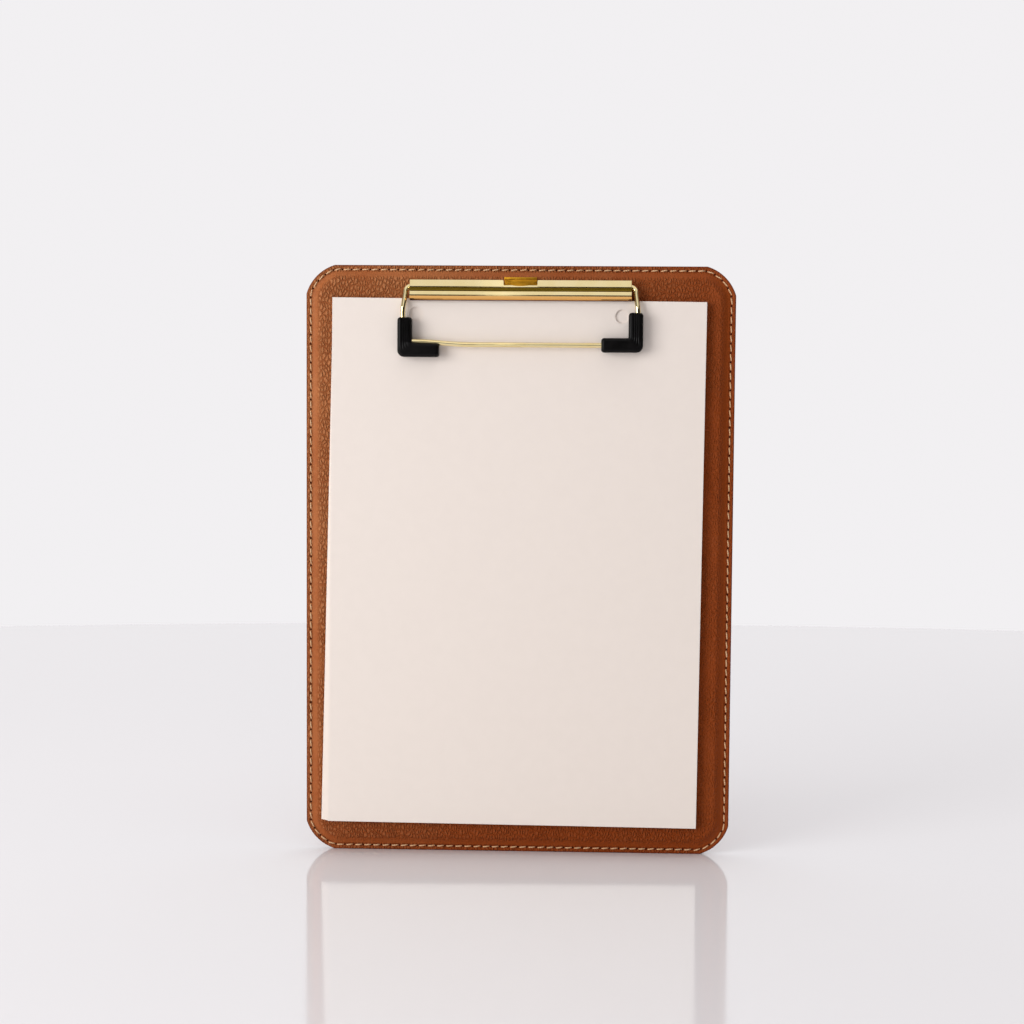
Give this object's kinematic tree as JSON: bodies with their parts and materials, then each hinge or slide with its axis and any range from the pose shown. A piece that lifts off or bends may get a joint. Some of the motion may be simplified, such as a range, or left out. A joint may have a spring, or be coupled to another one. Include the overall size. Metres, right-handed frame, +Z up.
{
  "type": "clipboard",
  "caption": "Leather-covered A5 clipboard with a brass-plated lever clip, a sprung wire bail with rubber corners, and a sheaf of paper.",
  "frame": {"origin": "centre of the board's flat back face, which is the back_face mount", "axes": "+Z up the board towards the clip, -Y out of the face that holds the paper, +Y out of the back, +X to the right as the face is looked at"},
  "size_m": [0.171, 0.0131, 0.236],
  "materials": {
    "core": "pressed greyboard, matte",
    "leather": "pebble-grained cognac leather, satin",
    "thread": "waxed polyester thread, tan",
    "plated_steel": "polished pale-gold plating on steel",
    "washer_steel": "zinc-plated steel",
    "black_rubber": "moulded soft black rubber",
    "card": "grey-brown backing card",
    "cream_paper": "uncoated cream writing paper"
  },
  "bodies": {
    "board": {"core_board": "core", "front_leather": "leather", "back_leather": "leather", "front_seam": "thread", "back_seam": "thread", "clip_base": "plated_steel", "clip_rivets": "plated_steel", "rivet_washers": "washer_steel"},
    "lever": {"clip_lever": "plated_steel"},
    "bail": {"wire_bail": "plated_steel", "corner_left": "black_rubber", "corner_right": "black_rubber"},
    "paper": {"backing_card": "card", "lower_sheets": "cream_paper", "upper_sheets": "cream_paper"}
  },
  "joints": [
    {"name": "lever_hinge", "type": "hinge", "parent": "board", "child": "lever", "pos_m": [0.0002, -0.0074, 0.1095], "axis": [-1, 0, 0], "range_deg": [0, 90]},
    {"name": "bail_hinge", "type": "hinge", "parent": "board", "child": "bail", "pos_m": [0.0002, -0.0074, 0.1095], "axis": [-1, 0, 0], "range_deg": [0, 54]},
    {"name": "paper_slide", "type": "slide", "parent": "board", "child": "paper", "axis": [0, 0, -1], "range_m": [0, 0.0235]}
  ],
  "couplings": [
    {"joint": "bail_hinge", "follows": "lever_hinge", "ratio": 0.6}
  ]
}
